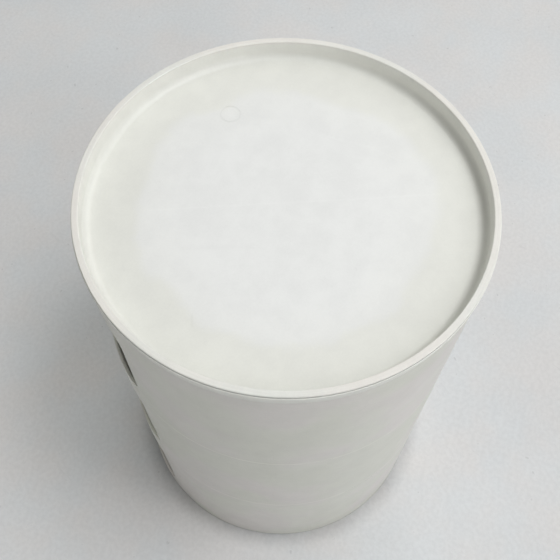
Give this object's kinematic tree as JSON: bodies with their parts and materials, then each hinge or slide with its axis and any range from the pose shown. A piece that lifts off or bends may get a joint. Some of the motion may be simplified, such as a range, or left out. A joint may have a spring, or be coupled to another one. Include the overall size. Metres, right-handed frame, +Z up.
{
  "type": "stacking storage drum with sliding doors",
  "caption": "Round stacking storage unit in off-white moulded plastic: equal drum tiers with curved sliding doors and a lift-off tray top.",
  "frame": {"origin": "centre of the footprint, on the floor under the foot pads", "axes": "+Z up along the drum's axis; -Y is the side with the doorways"},
  "size_m": [0.42, 0.42, 0.61],
  "materials": {
    "shell": "semi-gloss moulded off-white ABS",
    "door": "semi-gloss moulded off-white ABS",
    "tray": "semi-gloss moulded off-white ABS with fine scuffs",
    "foot": "matt"
  },
  "bodies": {
    "lower_tier": {"wall_low": "shell", "deck_low": "shell", "guide_ring_low": "shell", "foot_pads": "foot"},
    "middle_tier": {"wall_mid": "shell", "deck_mid": "shell", "guide_ring_mid": "shell"},
    "upper_tier": {"wall_top": "shell", "deck_top": "shell", "guide_ring_top": "shell"},
    "lower_door": {"door_low": "door"},
    "middle_door": {"door_mid": "door"},
    "upper_door": {"door_top": "door"},
    "tray": {"top_tray": "tray"}
  },
  "joints": [
    {"name": "middle_tier_lift", "type": "slide", "parent": "lower_tier", "child": "middle_tier", "axis": [0, 0, 1], "range_m": [0, 0.08]},
    {"name": "upper_tier_lift", "type": "slide", "parent": "middle_tier", "child": "upper_tier", "axis": [0, 0, 1], "range_m": [0, 0.08]},
    {"name": "tray_lift", "type": "slide", "parent": "upper_tier", "child": "tray", "axis": [0, 0, 1], "range_m": [0, 0.08]},
    {"name": "lower_door_turn", "type": "hinge", "parent": "lower_tier", "child": "lower_door", "pos_m": [0, 0, 0.088], "axis": [0, 0, 1], "range_deg": [-84, 0]},
    {"name": "middle_door_turn", "type": "hinge", "parent": "middle_tier", "child": "middle_door", "pos_m": [0, 0, 0.285], "axis": [0, 0, 1], "range_deg": [-84, 0]},
    {"name": "upper_door_turn", "type": "hinge", "parent": "upper_tier", "child": "upper_door", "pos_m": [0, 0, 0.482], "axis": [0, 0, 1], "range_deg": [0, 84]}
  ]
}
